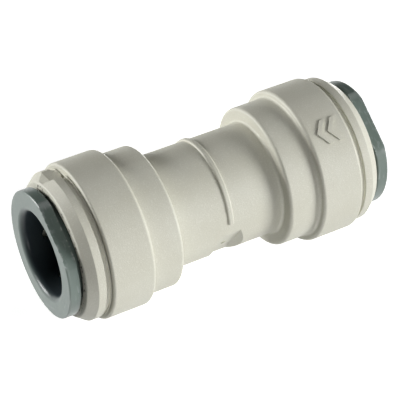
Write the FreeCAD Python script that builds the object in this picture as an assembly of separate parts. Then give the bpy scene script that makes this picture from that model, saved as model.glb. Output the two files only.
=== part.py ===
import FreeCAD, Part
import math
import os

# Equal straight push to connect fitting for tube of 12.7 mm (1/2 in) outside diameter.
# X runs along the tube axis, Z is up, the origin is the middle of the body, units are millimetres.
# Each end holds an O-ring, a spacer washer, a toothed collet and a retaining cap.

# Overall
END_FACE = 26.8            # distance from the middle to each collet's outer face
TURN_AXIS = FreeCAD.Vector(1, 0, 0)
ORIGIN = FreeCAD.Vector(0, 0, 0)

# Moulded body, outside
BARREL_R = 8.75
SHOULDER_R = 10.92
SHOULDER_X = 8.95          # inner face of each shoulder
RING_R = 12.0
RING_X = 14.1              # inner face of each end ring
BODY_END_X = 20.88
RING_END_ROUND = 0.34
RING_STEP_ROUND = 0.5
SHOULDER_ROUND = 0.5
ROOT_FILLET = 0.4

# Moulded body, inside
FLOW_R = 4.9
STOP_X = 1.6               # tube stop face
TUBE_POCKET_R = 6.4
SEAL_SEAT_X = 9.6
SEAL_CHAMBER_R = 8.65
COLLET_CHAMBER_X = 14.2
COLLET_CHAMBER_R = 9.9
LEAD_IN = 0.3
SNAP_GROOVE_X = 19.0
SNAP_GROOVE_LENGTH = 1.1
SNAP_GROOVE_DEPTH = 0.35
SNAP_GROOVE_FLANK = 0.15

# Rib and injection gate on the barrel
RIB_X = 0.0
RIB_WIDTH = 0.95
RIB_HEIGHT = 0.3
RIB_ROUND = 0.3
GATE_ANGLE = -147.5        # about X, counted from +Y towards +Z
RIB_GAP_HALF_ANGLE = 40.0
GATE_FLOOR = 7.7           # distance of the recess's flat floor from the axis
GATE_FLOOR_END_X = 1.63    # the floor runs this far each way, to the foot of a ramp
GATE_RAMP_END_X = 2.58     # where each ramp meets the barrel
GATE_NUB_X = 0.1
GATE_NUB_R = 0.42
GATE_NUB_HEIGHT = 0.2

# Raised insertion chevrons on one end ring
CHEVRON_ANGLE = 123.0
CHEVRON_XS = (16.35, 18.15)
CHEVRON_HALF_WIDTH = 1.9
CHEVRON_REACH = 1.3
CHEVRON_STROKE = 0.8
CHEVRON_HEIGHT = 0.22
CHEVRON_ROOT = 0.4

# Retaining cap
SKIRT_R = 9.88
SKIRT_END_X = 18.0
COLLAR_X = 21.0            # the collar stops a hairline short of the body's end
COLLAR_END_X = 21.12
COLLAR_R = 11.3
NECK_R = 11.05
BAND_X = 21.75
BAND_END_X = 23.02
BAND_R = 11.42
CAP_FACE_X = 24.44
CAP_LIP_R = 10.35
CAP_MOUTH_R = 9.1
CAP_MOUTH_DEPTH = 1.1
CAP_OPENING_R = 7.95
TAPER_START_X = 21.9
TAPER_END_X = 18.3
TAPER_END_R = 9.35
SNAP_BEAD_X = 19.2
SNAP_BEAD_LENGTH = 0.7
SNAP_BEAD_HEIGHT = 0.27
SNAP_BEAD_FLANK = 0.2
NOTCH_ANGLE = 80.0
NOTCH_FLOOR = 10.6         # distance of the notch's flat floor from the axis
NOTCH_WALL = 0.12          # distance of the notch's one side wall from the axis
NOTCH_START_X = 20.8
NOTCH_KNEE_X = 23.15       # from here outwards the floor slopes
NOTCH_SLOPE = 0.42
NOTCH_END_X = 24.25
NOTCH_CORNER = 1.3         # width of the cut corner between the side wall and the end wall
RELIEF_END_X = 21.3        # slit at the back of the floor, beside the wall
RELIEF_WIDTH = 1.5
RELIEF_FLOOR = 10.05
RIGHT_CAP_TURN = 180.0

# O-ring
O_RING_SECTION_R = 1.22
O_RING_MEAN_R = 7.42

# Spacer washer
SPACER_X = 12.2
SPACER_END_X = 13.6
SPACER_R = 8.5
SPACER_BORE_R = 6.6
SPACER_CHAMFER = 0.2

# Collet
COLLET_BORE_R = 6.42
MOUTH_ROUND = 1.0
FLANGE_R = 9.8
FLANGE_BACK_X = 25.0
FLANGE_ROUND = 0.25
SLEEVE_R = 7.75
CONE_START_X = 21.85
HEAD_X = 18.15
HEAD_END_X = 17.2
HEAD_R = 9.2
COLLET_TIP_X = 15.0
COLLET_TIP_R = 8.3
COLLET_TIP_LEAD = 0.5
LEG_COUNT = 6
LEG_TURN = 10.0            # about X, of the first leg
SLOT_WIDTH = 1.8
SLOT_END_X = 23.6
FLAT_ANGLE = 123.0
FLAT_DISTANCE = 8.72
FLAT_BLEND_R = 4.0         # arc that joins each end of the flat to the round
RIGHT_COLLET_TURN = 1.0

# Tooth
TOOTH_ROOT = (17.7, 8.4)   # distance along the axis and radius of the embedded end
TOOTH_TIP = (16.1, 6.0)
TOOTH_THICKNESS = 0.35
TOOTH_WIDTH = 3.2
TOOTH_TIP_R = 6.2

REACH = 40.0               # longer than anything in the fitting
CUT_MARGIN = 0.01          # clearance that keeps a cutter off the faces it runs into


def point(x, r):
    """Point of the section plane, at x along the axis and r from it."""
    return FreeCAD.Vector(x, 0, r)


def section_wire(corners):
    """Closed wire through (x, r) or (x, r, rounding) corners, each rounding a tangent arc."""
    starts, ends, arcs = [], [], []
    count = len(corners)
    for i, corner in enumerate(corners):
        here = point(*corner[:2])
        rounding = corner[2] if len(corner) > 2 else 0.0
        if not rounding:
            starts.append(here)
            ends.append(here)
            arcs.append(None)
            continue
        before = point(*corners[i - 1][:2]).sub(here)
        after = point(*corners[(i + 1) % count][:2]).sub(here)
        before.normalize()
        after.normalize()
        half = before.getAngle(after) / 2.0
        setback = rounding / math.tan(half)
        inward = before.add(after)
        inward.normalize()
        middle = here.add(inward * (rounding / math.sin(half) - rounding))
        starts.append(here.add(before * setback))
        ends.append(here.add(after * setback))
        arcs.append(middle)
    edges = []
    for i in range(count):
        if arcs[i] is not None:
            edges.append(Part.Arc(starts[i], arcs[i], ends[i]).toShape())
        following = starts[(i + 1) % count]
        if ends[i].distanceToPoint(following) > 1e-6:
            edges.append(Part.LineSegment(ends[i], following).toShape())
    return Part.Wire(edges)


def turned(corners):
    """Solid of revolution about X from a section's corners."""
    return Part.Face(section_wire(corners)).revolve(ORIGIN, TURN_AXIS, 360)


def about_axis(shape, angle):
    """Copy of a shape turned about X by an angle in degrees."""
    copy = shape.copy()
    copy.rotate(ORIGIN, TURN_AXIS, angle)
    return copy


def outward(shape, angle):
    """Shape drawn with its outward direction along +Y, turned to face an angle about X."""
    return about_axis(shape, angle)


def box(low, high):
    """Box between two opposite corners."""
    size = [b - a for a, b in zip(low, high)]
    return Part.makeBox(size[0], size[1], size[2], FreeCAD.Vector(*low))


def mirrored(shape):
    """Copy of a right-hand piece for the left-hand end."""
    return shape.mirror(ORIGIN, TURN_AXIS)


def arc_between(start, end, centre):
    """Edge of the shorter arc about a centre."""
    middle = start.add(end).multiply(0.5).sub(centre)
    middle.normalize()
    return Part.Arc(start, centre.add(middle * start.distanceToPoint(centre)), end).toShape()


def flat_cutter(radius, distance, blend, x_low, x_high):
    """Cutter, facing +Y, that leaves a round with a flat whose ends run into it along tangent arcs."""
    centre_reach = distance - blend
    centre_across = math.sqrt((radius - blend) ** 2 - centre_reach ** 2)
    edges = []
    for side in (-1, 1):
        centre = FreeCAD.Vector(x_low, centre_reach, side * centre_across)
        on_flat = FreeCAD.Vector(x_low, distance, side * centre_across)
        on_round = FreeCAD.Vector(0, centre_reach, side * centre_across) * (radius / (radius - blend))
        on_round.x = x_low
        outside = FreeCAD.Vector(x_low, on_round.y * 2, on_round.z * 2)
        edges.append((arc_between(on_flat, on_round, centre), on_flat, on_round, outside))
    (left_arc, left_flat, left_round, left_out), (right_arc, right_flat, right_round, right_out) = edges
    wire = Part.Wire([
        Part.makeLine(left_out, left_round),
        left_arc,
        Part.makeLine(left_flat, right_flat),
        right_arc,
        Part.makeLine(right_round, right_out),
        Part.makeLine(right_out, left_out),
    ])
    return Part.Face(wire).extrude(FreeCAD.Vector(x_high - x_low, 0, 0))


def body_inside_corners():
    """Section corners of the bore, from the right-hand mouth to the middle of the body."""
    groove_end = SNAP_GROOVE_X + SNAP_GROOVE_LENGTH
    groove_r = COLLET_CHAMBER_R + SNAP_GROOVE_DEPTH
    return [
        (BODY_END_X, COLLET_CHAMBER_R),
        (groove_end, COLLET_CHAMBER_R),
        (groove_end - SNAP_GROOVE_FLANK, groove_r),
        (SNAP_GROOVE_X + SNAP_GROOVE_FLANK, groove_r),
        (SNAP_GROOVE_X, COLLET_CHAMBER_R),
        (COLLET_CHAMBER_X, COLLET_CHAMBER_R, ROOT_FILLET),
        (COLLET_CHAMBER_X, SEAL_CHAMBER_R + LEAD_IN),
        (COLLET_CHAMBER_X - LEAD_IN, SEAL_CHAMBER_R),
        (SEAL_SEAT_X, SEAL_CHAMBER_R),
        (SEAL_SEAT_X, TUBE_POCKET_R + LEAD_IN),
        (SEAL_SEAT_X - LEAD_IN, TUBE_POCKET_R),
        (STOP_X, TUBE_POCKET_R),
        (STOP_X, FLOW_R),
    ]


def body_outside_corners():
    """Section corners of the outside, from the middle of the body to the right-hand end."""
    return [
        (SHOULDER_X, BARREL_R, ROOT_FILLET),
        (SHOULDER_X, SHOULDER_R, SHOULDER_ROUND),
        (RING_X, SHOULDER_R, ROOT_FILLET),
        (RING_X, RING_R, RING_STEP_ROUND),
        (BODY_END_X, RING_R, RING_END_ROUND),
    ]


def flipped(corners):
    """Mirror image of section corners, in the opposite order."""
    return [(-corner[0],) + tuple(corner[1:]) for corner in reversed(corners)]


def make_rib():
    """Raised ring round the barrel that stops short of the gate pocket."""
    half = RIB_WIDTH / 2.0
    rib = turned([
        (RIB_X - half, BARREL_R - RIB_HEIGHT),
        (RIB_X - half, BARREL_R + RIB_HEIGHT, RIB_ROUND),
        (RIB_X + half, BARREL_R + RIB_HEIGHT, RIB_ROUND),
        (RIB_X + half, BARREL_R - RIB_HEIGHT),
    ])
    spread = REACH * math.tan(math.radians(RIB_GAP_HALF_ANGLE))
    gap_corners = [
        FreeCAD.Vector(RIB_X - RIB_WIDTH, 0, 0),
        FreeCAD.Vector(RIB_X - RIB_WIDTH, REACH, -spread),
        FreeCAD.Vector(RIB_X - RIB_WIDTH, REACH, spread),
        FreeCAD.Vector(RIB_X - RIB_WIDTH, 0, 0),
    ]
    gap = Part.Face(Part.makePolygon(gap_corners)).extrude(TURN_AXIS * (2 * RIB_WIDTH))
    return rib.cut(outward(gap, GATE_ANGLE))


def make_gate_recess():
    """Cutter for the flat recess across the barrel, ramped at both ends, its gate nub left standing."""
    ramp = (BARREL_R - GATE_FLOOR) / (GATE_RAMP_END_X - GATE_FLOOR_END_X)
    rim = BARREL_R + 2 * RIB_HEIGHT
    rim_x = GATE_FLOOR_END_X + (rim - GATE_FLOOR) / ramp
    outline = [
        (-GATE_FLOOR_END_X, GATE_FLOOR),
        (-rim_x, rim),
        (rim_x, rim),
        (GATE_FLOOR_END_X, GATE_FLOOR),
        (-GATE_FLOOR_END_X, GATE_FLOOR),
    ]
    wire = Part.makePolygon([FreeCAD.Vector(x, reach, -BARREL_R) for x, reach in outline])
    recess = Part.Face(wire).extrude(FreeCAD.Vector(0, 0, 2 * BARREL_R))
    nub_foot = FreeCAD.Vector(GATE_NUB_X, GATE_FLOOR, 0)
    nub = Part.makeCylinder(GATE_NUB_R, GATE_NUB_HEIGHT, nub_foot, FreeCAD.Vector(0, 1, 0))
    return outward(recess.cut(nub), GATE_ANGLE)


def make_chevron(x):
    """Raised chevron on an end ring, its point towards the middle of the body."""
    tip, tail = x - CHEVRON_REACH / 2.0, x + CHEVRON_REACH / 2.0
    outline = [
        (tip, 0),
        (tail, CHEVRON_HALF_WIDTH),
        (tail + CHEVRON_STROKE, CHEVRON_HALF_WIDTH),
        (tip + CHEVRON_STROKE, 0),
        (tail + CHEVRON_STROKE, -CHEVRON_HALF_WIDTH),
        (tail, -CHEVRON_HALF_WIDTH),
        (tip, 0),
    ]
    base = RING_R - CHEVRON_ROOT
    wire = Part.makePolygon([FreeCAD.Vector(a, base, b) for a, b in outline])
    block = Part.Face(wire).extrude(FreeCAD.Vector(0, 2 * CHEVRON_ROOT, 0))
    skin = Part.makeCylinder(RING_R + CHEVRON_HEIGHT, END_FACE, ORIGIN, TURN_AXIS)
    return outward(block.common(skin), CHEVRON_ANGLE)


def make_body():
    """Moulded body: stepped barrel, through bore with tube stops, seal and collet chambers."""
    outside, inside = body_outside_corners(), body_inside_corners()
    body = turned(outside + inside + flipped(inside) + flipped(outside))
    body = body.fuse([make_rib()] + [make_chevron(x) for x in CHEVRON_XS])
    return body.cut(make_gate_recess()).removeSplitter()


def make_notch():
    """Cutter for the cap's locating notch: a floor that slopes past its knee, one wall, a cut corner."""
    end_floor = NOTCH_FLOOR - NOTCH_SLOPE * (NOTCH_END_X - NOTCH_KNEE_X)
    side = [
        (NOTCH_START_X, NOTCH_FLOOR),
        (NOTCH_KNEE_X, NOTCH_FLOOR),
        (NOTCH_END_X, end_floor),
        (NOTCH_END_X, REACH),
        (NOTCH_START_X, REACH),
        (NOTCH_START_X, NOTCH_FLOOR),
    ]
    side_wire = Part.makePolygon([FreeCAD.Vector(x, reach, -REACH) for x, reach in side])
    side_block = Part.Face(side_wire).extrude(FreeCAD.Vector(0, 0, 2 * REACH))
    plan = [
        (NOTCH_START_X, -REACH),
        (NOTCH_START_X, -NOTCH_WALL),
        (NOTCH_KNEE_X, -NOTCH_WALL),
        (NOTCH_END_X, -NOTCH_WALL - NOTCH_CORNER),
        (NOTCH_END_X, -REACH),
        (NOTCH_START_X, -REACH),
    ]
    plan_wire = Part.makePolygon([FreeCAD.Vector(x, 0, across) for x, across in plan])
    plan_block = Part.Face(plan_wire).extrude(FreeCAD.Vector(0, REACH, 0))
    relief_low = (NOTCH_START_X, RELIEF_FLOOR, -NOTCH_WALL - RELIEF_WIDTH)
    relief = box(relief_low, (RELIEF_END_X, REACH, -NOTCH_WALL))
    return outward(side_block.common(plan_block).fuse(relief), NOTCH_ANGLE)


def make_cap():
    """Right-hand retaining cap: snap-in skirt, inner taper, outer band, bevel and locating notch."""
    bead_end = SNAP_BEAD_X + SNAP_BEAD_LENGTH
    bead_r = SKIRT_R + SNAP_BEAD_HEIGHT
    cap = turned([
        (SKIRT_END_X, TAPER_END_R),
        (SKIRT_END_X, SKIRT_R, 0.15),
        (SNAP_BEAD_X, SKIRT_R),
        (SNAP_BEAD_X + SNAP_BEAD_FLANK, bead_r),
        (bead_end - SNAP_BEAD_FLANK, bead_r),
        (bead_end, SKIRT_R),
        (COLLAR_X, SKIRT_R),
        (COLLAR_X, COLLAR_R),
        (COLLAR_END_X, COLLAR_R),
        (COLLAR_END_X, NECK_R),
        (BAND_X, NECK_R),
        (BAND_X, BAND_R, 0.12),
        (BAND_END_X, BAND_R, 0.12),
        (CAP_FACE_X, CAP_LIP_R, 0.35),
        (CAP_FACE_X, CAP_MOUTH_R, 0.2),
        (CAP_FACE_X - CAP_MOUTH_DEPTH, CAP_OPENING_R),
        (TAPER_START_X, CAP_OPENING_R),
        (TAPER_END_X, TAPER_END_R),
    ])
    return cap.cut(make_notch())


def make_o_ring():
    """Right-hand O-ring, resting against the end of the tube pocket."""
    ring = Part.makeTorus(O_RING_MEAN_R, O_RING_SECTION_R, ORIGIN, TURN_AXIS)
    ring.translate(FreeCAD.Vector(SEAL_SEAT_X + O_RING_SECTION_R, 0, 0))
    return ring


def make_spacer():
    """Right-hand spacer washer between the O-ring and the collet."""
    return turned([
        (SPACER_X, SPACER_BORE_R + SPACER_CHAMFER),
        (SPACER_X, SPACER_R - SPACER_CHAMFER),
        (SPACER_X + SPACER_CHAMFER, SPACER_R),
        (SPACER_END_X - SPACER_CHAMFER, SPACER_R),
        (SPACER_END_X, SPACER_R - SPACER_CHAMFER),
        (SPACER_END_X, SPACER_BORE_R + SPACER_CHAMFER),
        (SPACER_END_X - SPACER_CHAMFER, SPACER_BORE_R),
        (SPACER_X + SPACER_CHAMFER, SPACER_BORE_R),
    ])


def make_tooth(angle):
    """Right-hand steel tooth, a thin blade leaning inwards, its edge hollowed to fit the tube."""
    root, tip = point(*TOOTH_ROOT), point(*TOOTH_TIP)
    along = tip.sub(root)
    along.normalize()
    across = FreeCAD.Vector(along.z, 0, -along.x) * (TOOTH_THICKNESS / 2.0)
    side = FreeCAD.Vector(0, -TOOTH_WIDTH / 2.0, 0)
    loop = [root.add(across), tip.add(across), tip.sub(across), root.sub(across)]
    loop = [corner.add(side) for corner in loop]
    blade = Part.Face(Part.makePolygon(loop + loop[:1])).extrude(FreeCAD.Vector(0, TOOTH_WIDTH, 0))
    blade = blade.cut(Part.makeCylinder(TOOTH_TIP_R, END_FACE, ORIGIN, TURN_AXIS))
    return about_axis(blade, angle)


def make_collet(teeth):
    """Right-hand collet: pressing flange with one flat, sleeve, slotted legs with cam heads."""
    collet = turned([
        (END_FACE, COLLET_BORE_R, MOUTH_ROUND),
        (END_FACE, FLANGE_R, FLANGE_ROUND),
        (FLANGE_BACK_X, FLANGE_R, 0.2),
        (FLANGE_BACK_X, SLEEVE_R, 0.25),
        (CONE_START_X, SLEEVE_R, 0.3),
        (HEAD_X, HEAD_R, 0.15),
        (HEAD_END_X, HEAD_R, 0.2),
        (COLLET_TIP_X, COLLET_TIP_R, 0.2),
        (COLLET_TIP_X, COLLET_BORE_R + COLLET_TIP_LEAD),
        (COLLET_TIP_X + COLLET_TIP_LEAD, COLLET_BORE_R),
    ])
    flange_flat = flat_cutter(FLANGE_R + CUT_MARGIN, FLAT_DISTANCE, FLAT_BLEND_R, CAP_FACE_X, REACH)
    collet = collet.cut(outward(flange_flat, FLAT_ANGLE))
    half = SLOT_WIDTH / 2.0
    slot_floor = FreeCAD.Vector(SLOT_END_X - half, 0, 0)
    slot = box((0, 0, -half), (SLOT_END_X - half, REACH, half))
    slot = slot.fuse(Part.makeCylinder(half, REACH, slot_floor, FreeCAD.Vector(0, 1, 0)))
    pitch = 360.0 / LEG_COUNT
    slots = [about_axis(slot, LEG_TURN + (i + 0.5) * pitch) for i in range(LEG_COUNT)]
    return collet.cut(slots + teeth)


def export(name, shape):
    """Write one piece to its own STEP file."""
    shape.exportStep("parts/" + name + ".step")


def main():
    """Build every piece and write it out."""
    os.makedirs("parts", exist_ok=True)
    export("connector_body", make_body())
    cap = make_cap()
    export("right_cap", about_axis(cap, RIGHT_CAP_TURN))
    export("left_cap", mirrored(cap))
    pitch = 360.0 / LEG_COUNT
    teeth = [make_tooth(LEG_TURN + i * pitch) for i in range(LEG_COUNT)]
    pieces = {"o_ring": make_o_ring(), "spacer": make_spacer(), "collet": make_collet(teeth)}
    for i, tooth in enumerate(teeth):
        pieces["tooth_%d" % (i + 1)] = tooth
    for name, piece in pieces.items():
        export("right_" + name, about_axis(piece, RIGHT_COLLET_TURN))
        export("left_" + name, mirrored(piece))


main()
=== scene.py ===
import bpy
import math
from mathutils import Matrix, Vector


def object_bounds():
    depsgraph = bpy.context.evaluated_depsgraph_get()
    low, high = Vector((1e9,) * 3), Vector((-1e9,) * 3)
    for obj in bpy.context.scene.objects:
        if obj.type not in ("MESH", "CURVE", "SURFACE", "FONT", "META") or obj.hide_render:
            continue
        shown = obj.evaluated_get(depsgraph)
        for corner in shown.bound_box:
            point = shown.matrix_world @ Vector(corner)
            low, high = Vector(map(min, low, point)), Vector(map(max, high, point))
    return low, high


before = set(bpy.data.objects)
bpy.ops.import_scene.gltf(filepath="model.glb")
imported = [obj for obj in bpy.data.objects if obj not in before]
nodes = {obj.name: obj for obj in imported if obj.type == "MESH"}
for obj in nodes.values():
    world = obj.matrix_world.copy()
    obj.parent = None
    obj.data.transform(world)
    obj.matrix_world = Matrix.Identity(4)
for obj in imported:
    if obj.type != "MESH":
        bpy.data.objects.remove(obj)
cad_box = [list(corner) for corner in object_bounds()]
scene = bpy.context.scene

# Lengths are in metres, angles in degrees and powers in watts, except where a name says otherwise.

# Camera: a long lens looking down at the fitting from its left front
CAMERA_AZIMUTH = -29.384
CAMERA_ELEVATION = 40.568
CAMERA_PLACE = (-0.10591, -0.18754, 0.18361)
LENS_MM = 170.5
SENSOR_MM = 36
CLIP_START = 0.01
CLIP_END = 10

# Stage
FLOOR_Z = cad_box[0][2]    # the floor touches the fitting's lowest point
FLOOR_SIZE = 6.0
BACKDROP_R = 1.4
BACKDROP_SEGMENTS = 64
CARD_GLOW = 0.70           # the card's own light, which keeps it pale all over

# Softboxes, all at one distance: name, azimuth, elevation, size and power
LAMP_DISTANCE = 1.2
SOFTBOXES = (
    ("key", 53, 10, 0.48, 15.2),
    ("left_fill", -130, 9, 0.48, 16.0),
    ("front_fill", -10, 9, 0.48, 4.8),
    ("rear_low", 130, -25, 0.48, 14.4),
    ("from_below", -40, -60, 0.6, 3.6),
    ("top", 130, 62, 0.6, 2.2),
)

# Places on the caps and collets
CAP_LIP_R = 0.00995        # specks of grime and painted shade of the gap under the collet flange lie inside this radius
CAP_LIP_X = 0.0240         # and beyond this distance from the middle
LIP_FADE = 0.0002
BORE_EDGE_R = 0.00645      # the bore's wall is inside this radius
MOUTH_ROUND = 0.0009       # and its painted shade fades over this much more
FLAT_ANGLE = 123.5         # about X, of the flats on the flanges
FLAT_WEAR_START = 0.0081   # wear on the flats begins this far from the tube axis
FLAT_WEAR_FULL = 0.0085    # and is complete from here outwards

# How far wear reaches from a sharp edge
IVORY_RUB = 0.00018
SLATE_NICK = 0.00016
FLAT_CHIP = 0.00055
EDGE_COSINE = 0.86         # between the rounded and the true normal, where wear is complete

# Linear colours
IVORY = (0.640, 0.636, 0.548, 1)
IVORY_WARM = (0.600, 0.590, 0.498, 1)
IVORY_FLECK = (0.740, 0.735, 0.650, 1)
LIP_DIRT_AND_SHADE = (0.050, 0.045, 0.038, 1)
NATURAL_WHITE = (0.70, 0.69, 0.64, 1)
SLATE = (0.134, 0.173, 0.154, 1)
SLATE_LIGHT = (0.156, 0.199, 0.177, 1)
SLATE_SCUFF = (0.420, 0.460, 0.440, 1)
SLATE_BORE_SHADE = (0.030, 0.040, 0.045, 1)
RUBBER = (0.012, 0.012, 0.012, 1)
RUBBER_DUST = (0.030, 0.030, 0.029, 1)
STEEL = (0.50, 0.50, 0.48, 1)
STEEL_BRIGHT = (0.62, 0.62, 0.60, 1)
CARD = (0.90, 0.90, 0.90, 1)
WHITE = (1, 1, 1, 1)


def direction(azimuth, elevation):
    """Unit vector from the fitting towards a place at this azimuth and elevation."""
    turn, rise = math.radians(azimuth), math.radians(elevation)
    return Vector((math.sin(turn) * math.cos(rise), -math.cos(turn) * math.cos(rise), math.sin(rise)))


def aim(obj, back):
    """Points a camera or a light along the opposite of back, with no roll."""
    obj.rotation_mode = "QUATERNION"
    obj.rotation_quaternion = (-back).to_track_quat("-Z", "Y")


def add_camera():
    """The camera at the photograph's viewing angle."""
    data = bpy.data.cameras.new("camera")
    data.lens = LENS_MM
    data.sensor_width = SENSOR_MM
    data.clip_start = CLIP_START
    data.clip_end = CLIP_END
    camera = bpy.data.objects.new("camera", data)
    camera.location = CAMERA_PLACE
    aim(camera, direction(CAMERA_AZIMUTH, CAMERA_ELEVATION))
    scene.collection.objects.link(camera)
    scene.camera = camera


def add_softbox(name, azimuth, elevation, size, power):
    """A square softbox aimed at the fitting."""
    data = bpy.data.lights.new(name, "AREA")
    data.shape = "SQUARE"
    data.size = size
    data.energy = power
    lamp = bpy.data.objects.new(name, data)
    back = direction(azimuth, elevation)
    lamp.location = back * LAMP_DISTANCE
    aim(lamp, back)
    scene.collection.objects.link(lamp)


def add_world():
    """Dark studio surroundings, so that the softboxes do the lighting."""
    world = bpy.data.worlds.new("studio")
    world.use_nodes = True
    world.node_tree.nodes["Background"].inputs["Strength"].default_value = 0.0
    scene.world = world


class Nodes:
    """A new material and short ways to add to its node tree."""

    def __init__(self, name):
        self.material = bpy.data.materials.new(name)
        self.material.use_nodes = True
        self.tree = self.material.node_tree
        self.shader = self.tree.nodes["Principled BSDF"]

    def set(self, socket, value):
        """Sets an input socket to a value, or links an output to it."""
        if isinstance(value, bpy.types.NodeSocket):
            self.tree.links.new(value, socket)
        else:
            socket.default_value = value

    def add(self, kind, **inputs):
        """New node, with values or links for its inputs by name."""
        node = self.tree.nodes.new(kind)
        for key, value in inputs.items():
            self.set(node.inputs[key], value)
        return node

    def finish(self, **inputs):
        """Sets or links inputs of the material's shader, with _ for a space in their names."""
        for key, value in inputs.items():
            self.set(self.shader.inputs[key.replace("_", " ")], value)
        return self.material

    def maths(self, operation, first, second=0.0):
        """Result of a maths node on two values or links."""
        node = self.tree.nodes.new("ShaderNodeMath")
        node.operation = operation
        self.set(node.inputs[0], first)
        self.set(node.inputs[1], second)
        return node.outputs["Value"]

    def coordinates(self):
        """Object coordinates, which are the part's frame in metres."""
        return self.add("ShaderNodeTexCoord").outputs["Object"]

    def axes(self):
        """The object coordinates one by one, as outputs X, Y and Z."""
        return self.add("ShaderNodeSeparateXYZ", Vector=self.coordinates()).outputs

    def axis_radius(self):
        """Distance from the tube axis."""
        split = self.axes()
        squares = [self.maths("POWER", split[axis], 2.0) for axis in "YZ"]
        return self.maths("SQRT", self.maths("ADD", squares[0], squares[1]))

    def axis_distance(self):
        """Distance from the middle of the fitting along the tube axis."""
        return self.maths("ABSOLUTE", self.axes()["X"])

    def reach(self, angle):
        """Distance from the tube axis in the direction of an angle about it."""
        split = self.axes()
        turn = math.radians(angle)
        return self.maths("ADD", self.maths("MULTIPLY", split["Y"], math.cos(turn)),
                          self.maths("MULTIPLY", split["Z"], math.sin(turn)))

    def turned_coordinates(self, along, around):
        """Cylindrical coordinates for marks left by turning, with along in cells per metre along
        the tube axis and away from it, and around in cells per radian about it."""
        split = self.axes()
        angle = self.maths("ARCTAN2", split["Z"], split["Y"])
        joined = self.add("ShaderNodeCombineXYZ", X=self.maths("MULTIPLY", split["X"], along),
                          Y=self.maths("MULTIPLY", self.axis_radius(), along),
                          Z=self.maths("MULTIPLY", angle, around))
        return joined.outputs["Vector"]

    def noise(self, scale, detail=2.0):
        """Factor of a noise texture, scale in cells per metre."""
        return self.add("ShaderNodeTexNoise", Vector=self.coordinates(), Scale=scale,
                        Detail=detail).outputs["Fac"]

    def turned_noise(self, along, around, detail=2.0):
        """Factor of a noise texture that is drawn out around the tube axis or along it."""
        return self.add("ShaderNodeTexNoise", Vector=self.turned_coordinates(along, around),
                        Scale=1.0, Detail=detail).outputs["Fac"]

    def spread(self, factor, low, high, start=0.0, end=1.0):
        """Maps a factor between start and end to values between low and high."""
        node = self.tree.nodes.new("ShaderNodeMapRange")
        for key, value in (("Value", factor), ("From Min", start), ("From Max", end),
                           ("To Min", low), ("To Max", high)):
            self.set(node.inputs[key], value)
        return node.outputs["Result"]

    def blend(self, factor, first, second):
        """Colour between two colours by a factor."""
        node = self.tree.nodes.new("ShaderNodeMix")
        node.data_type = "RGBA"
        self.set(node.inputs["Factor"], factor)
        colours = [socket for socket in node.inputs if socket.type == "RGBA"]
        for socket, value in zip(colours, (first, second)):
            self.set(socket, value)
        return next(socket for socket in node.outputs if socket.type == "RGBA")

    def edges(self, radius):
        """Factor that rises to 1 within a radius of a sharp edge."""
        soft = self.add("ShaderNodeBevel", Radius=radius)
        soft.samples = 6
        true = self.add("ShaderNodeNewGeometry")
        dot = self.tree.nodes.new("ShaderNodeVectorMath")
        dot.operation = "DOT_PRODUCT"
        self.set(dot.inputs[0], soft.outputs["Normal"])
        self.set(dot.inputs[1], true.outputs["Normal"])
        return self.spread(dot.outputs["Value"], 1.0, 0.0, start=EDGE_COSINE, end=1.0)

    def bump(self, height, distance, strength=1.0):
        """Bump from a height factor over a distance, chained onto the shader's normal."""
        node = self.add("ShaderNodeBump", Strength=strength, Distance=distance, Height=height)
        normal = self.shader.inputs["Normal"]
        if normal.links:
            self.set(node.inputs["Normal"], normal.links[0].from_socket)
        self.set(normal, node.outputs["Normal"])


def ivory_plastic(name, on_cap):
    """Warm light grey acetal: eroded mould texture, pale flecks, clouding, rubbed edges, cap lips with
    specks of grime and painted shade under the collet flange.
    """
    look = Nodes(name)
    clouds = look.spread(look.noise(170, detail=3), 0.0, 1.0, start=0.3, end=0.7)
    colour = look.blend(clouds, IVORY_WARM, IVORY)
    grain = look.noise(5600, detail=1)
    hollows = look.spread(grain, 0.60, 0.0, start=0.28, end=0.50)
    colour = look.blend(hollows, colour, IVORY_WARM)
    flecks = look.spread(grain, 0.0, 0.60, start=0.54, end=0.76)
    colour = look.blend(flecks, colour, IVORY_FLECK)
    handling = look.spread(look.noise(700), 0.1, 0.8, start=0.35, end=0.65)
    rubbed = look.maths("MULTIPLY", look.edges(IVORY_RUB), handling)
    colour = look.blend(rubbed, colour, IVORY_FLECK)
    look.bump(grain, distance=0.000030, strength=0.8)
    look.bump(look.noise(900), distance=0.000030, strength=0.12)
    if on_cap:
        look.bump(look.turned_noise(6000, 1.5), distance=0.000012, strength=0.5)
        # Painted shade: dark specks on the cap lip inside the collet flange, partly grime and partly the
        # shade of the gap between flange and cap
        inner = look.spread(look.axis_radius(), 1.0, 0.0, start=CAP_LIP_R, end=CAP_LIP_R + LIP_FADE)
        outer = look.spread(look.axis_distance(), 0.0, 1.0, start=CAP_LIP_X - LIP_FADE, end=CAP_LIP_X)
        on_lip = look.maths("MULTIPLY", inner, outer)
        grime_and_shade_specks = look.spread(look.noise(1900, detail=3), 0.0, 1.0, start=0.59, end=0.64)
        colour = look.blend(look.maths("MULTIPLY", on_lip, grime_and_shade_specks), colour, LIP_DIRT_AND_SHADE)
    roughness = look.maths("SUBTRACT", look.spread(look.noise(1200), 0.44, 0.58),
                           look.maths("MULTIPLY", rubbed, 0.12))
    return look.finish(Base_Color=colour, Roughness=roughness, IOR=1.48)


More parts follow.
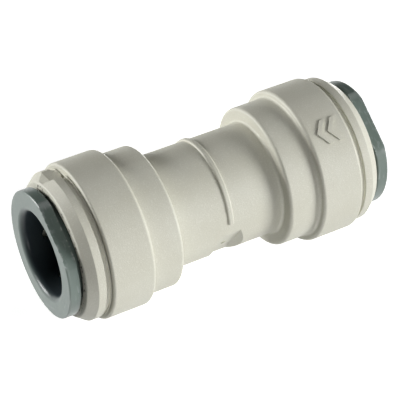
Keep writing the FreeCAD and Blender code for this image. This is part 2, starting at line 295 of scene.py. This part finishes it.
def slate_plastic(name):
    """Slate grey acetal, moulded glossy: hair scratches, nicked flats, a bore painted dark as shade with its
    shine turned down.
    """
    look = Nodes(name)
    clouds = look.spread(look.noise(240, detail=3), 0.0, 1.0, start=0.3, end=0.7)
    colour = look.blend(clouds, SLATE, SLATE_LIGHT)
    pits = look.noise(1500, detail=3)
    nicks = look.maths("MULTIPLY", look.edges(SLATE_NICK), look.spread(pits, 0.0, 1.0, start=0.52, end=0.68))
    chips = look.maths("MULTIPLY", look.edges(FLAT_CHIP), look.spread(pits, 0.0, 1.0, start=0.51, end=0.58))
    rubs = look.spread(look.noise(800, detail=4), 0.0, 0.3, start=0.56, end=0.72)
    on_flat = look.spread(look.reach(FLAT_ANGLE), 0.0, 1.0, start=FLAT_WEAR_START, end=FLAT_WEAR_FULL)
    flat_wear = look.maths("MULTIPLY", on_flat, look.maths("MAXIMUM", chips, rubs))
    scratches = look.spread(look.turned_noise(2600, 2.2, detail=3), 0.0, 0.30, start=0.60, end=0.72)
    marks = look.maths("MAXIMUM", look.maths("MAXIMUM", nicks, scratches), flat_wear)
    colour = look.blend(marks, colour, SLATE_SCUFF)
    # Painted shade: the bore's wall is coloured near black and its shine lowered, standing in for the little
    # light that reaches inside
    bore_shade = look.spread(look.axis_radius(), 1.0, 0.0, start=BORE_EDGE_R, end=BORE_EDGE_R + MOUTH_ROUND)
    colour = look.blend(bore_shade, colour, SLATE_BORE_SHADE)
    look.bump(look.noise(5200), distance=0.000010, strength=0.5)
    look.bump(marks, distance=0.000010, strength=-0.4)
    roughness = look.maths("ADD", look.spread(look.noise(1100), 0.27, 0.37),
                           look.maths("MULTIPLY", marks, 0.2))
    return look.finish(Base_Color=colour, Roughness=roughness, IOR=1.58,
                       Specular_IOR_Level=look.spread(bore_shade, 0.5, 0.12))


def rubber(name):
    """Smooth black nitrile with a little dust."""
    look = Nodes(name)
    dust = look.spread(look.noise(900, detail=3), 0.0, 1.0, start=0.45, end=0.7)
    look.bump(look.noise(3000), distance=0.000010, strength=0.4)
    return look.finish(Base_Color=look.blend(dust, RUBBER, RUBBER_DUST),
                       Roughness=look.spread(look.noise(1500), 0.34, 0.5))


def natural_plastic(name):
    """Uncoloured acetal of the spacer washers, turned smooth."""
    look = Nodes(name)
    look.bump(look.turned_noise(8000, 1.0), distance=0.000008, strength=0.5)
    return look.finish(Base_Color=look.blend(look.noise(300, detail=3), IVORY, NATURAL_WHITE),
                       Roughness=look.spread(look.noise(900), 0.34, 0.46))


def spring_steel(name):
    """Stamped spring steel of the teeth, brushed along the strip it was cut from."""
    look = Nodes(name)
    brushed = look.turned_noise(900, 60)
    look.bump(brushed, distance=0.000006, strength=0.5)
    return look.finish(Base_Color=look.blend(brushed, STEEL, STEEL_BRIGHT), Metallic=1.0,
                       Roughness=look.spread(look.noise(4000), 0.22, 0.4))


def pale_card():
    """Plain white card."""
    return Nodes("pale_card").finish(Base_Color=CARD, Roughness=0.9, Emission_Color=WHITE,
                                     Emission_Strength=CARD_GLOW)


def paint(obj, material):
    """Puts one material on every slot of an object."""
    if not obj.data.materials:
        obj.data.materials.append(material)
    for i in range(len(obj.data.materials)):
        obj.data.materials[i] = material


def add_stage():
    """A plain pale floor and a round backdrop of the same card, which the lamps shine through."""
    bpy.ops.mesh.primitive_plane_add(size=FLOOR_SIZE, location=(0, 0, FLOOR_Z))
    floor = bpy.context.object
    floor.name = "floor"
    bpy.ops.mesh.primitive_uv_sphere_add(segments=BACKDROP_SEGMENTS, ring_count=BACKDROP_SEGMENTS // 2,
                                         radius=BACKDROP_R)
    backdrop = bpy.context.object
    backdrop.name = "backdrop"
    backdrop.visible_glossy = False
    card = pale_card()
    for piece in (floor, backdrop):
        paint(piece, card)
        piece.visible_diffuse = False
        piece.visible_shadow = False


def paint_nodes():
    """Gives every CAD node the finish of its kind."""
    finishes = {
        "connector_body": ivory_plastic("body_ivory_acetal", False),
        "cap": ivory_plastic("cap_ivory_acetal", True),
        "collet": slate_plastic("collet_slate_acetal"),
        "o_ring": rubber("seal_black_nitrile"),
        "spacer": natural_plastic("spacer_natural_acetal"),
        "tooth": spring_steel("tooth_spring_steel"),
    }
    for name, node in nodes.items():
        for key, material in finishes.items():
            if key in name:
                paint(node, material)


paint_nodes()
add_stage()
add_camera()
add_world()
for softbox in SOFTBOXES:
    add_softbox(*softbox)
scene.view_settings.view_transform = "Standard"
